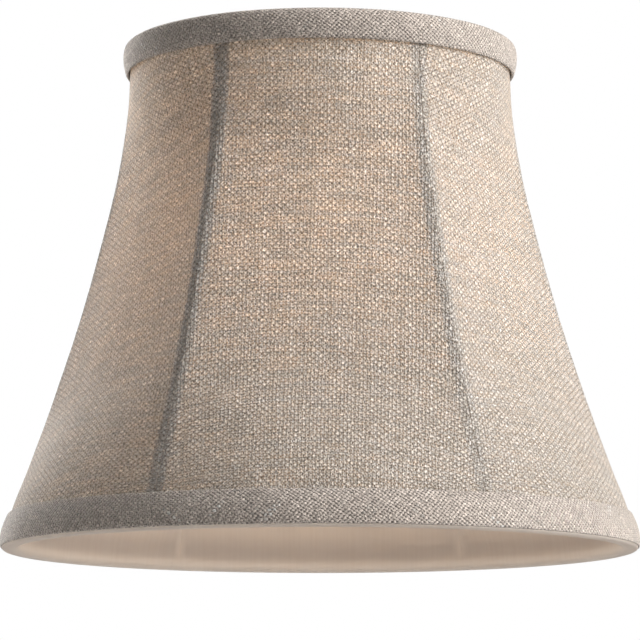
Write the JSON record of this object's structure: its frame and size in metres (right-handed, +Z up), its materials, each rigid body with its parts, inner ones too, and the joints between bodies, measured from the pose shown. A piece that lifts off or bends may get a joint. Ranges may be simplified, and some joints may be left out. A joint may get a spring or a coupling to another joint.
{
  "type": "clip-on lamp shade",
  "caption": "Flared bell lamp shade in plain-weave fabric gores on a ribbed wire frame, with bias trims, a pale lining and a sprung clip that grips a candle bulb.",
  "frame": {"origin": "centre of the rim's underside, on the shade's axis: bottom centre of the bounding box", "axes": "+Z up along the shade's axis; ribs every 60 degrees from +X; the crossbar lies along X; the pictured gore faces -Y"},
  "size_m": [0.1528, 0.1528, 0.1228],
  "materials": {
    "cover_linen": "coarse natural linen, plain weave, slubby, matt",
    "trim_linen": "the same linen cut on the bias and folded, matt",
    "lining": "fine pale lining cloth, soft satin",
    "frame_wire": "off-white coated steel wire",
    "clip_steel": "zinc-plated steel strip",
    "spring_wire": "bright plated spring wire"
  },
  "bodies": {
    "shade": {"top_ring": "frame_wire", "bottom_ring": "frame_wire", "rib_1": "frame_wire", "rib_2": "frame_wire", "rib_3": "frame_wire", "rib_4": "frame_wire", "rib_5": "frame_wire", "rib_6": "frame_wire", "cover_panel_1": "cover_linen", "cover_panel_2": "cover_linen", "cover_panel_3": "cover_linen", "cover_panel_4": "cover_linen", "cover_panel_5": "cover_linen", "cover_panel_6": "cover_linen", "lining_panel_1": "lining", "lining_panel_2": "lining", "lining_panel_3": "lining", "lining_panel_4": "lining", "lining_panel_5": "lining", "lining_panel_6": "lining", "top_trim": "trim_linen", "bottom_trim": "trim_linen", "crossbar": "frame_wire"},
    "clip": {"clip_strap": "clip_steel", "clip_rivet": "clip_steel"},
    "left_loop": {"clip_loop_left": "spring_wire"},
    "right_loop": {"clip_loop_right": "spring_wire"}
  },
  "joints": [
    {"name": "clip_tilt", "type": "hinge", "parent": "shade", "child": "clip", "pos_m": [0, 0, 0.112], "axis": [1, 0, 0], "range_deg": [-15, 15]},
    {"name": "left_loop_spring", "type": "hinge", "parent": "clip", "child": "left_loop", "pos_m": [-0.004, 0, 0.1054], "axis": [0, 1, 0], "range_deg": [0, 12], "stiffness_Nm_per_rad": 0.6},
    {"name": "right_loop_spring", "type": "hinge", "parent": "clip", "child": "right_loop", "pos_m": [0.004, 0, 0.1054], "axis": [0, -1, 0], "range_deg": [0, 12], "stiffness_Nm_per_rad": 0.6}
  ]
}
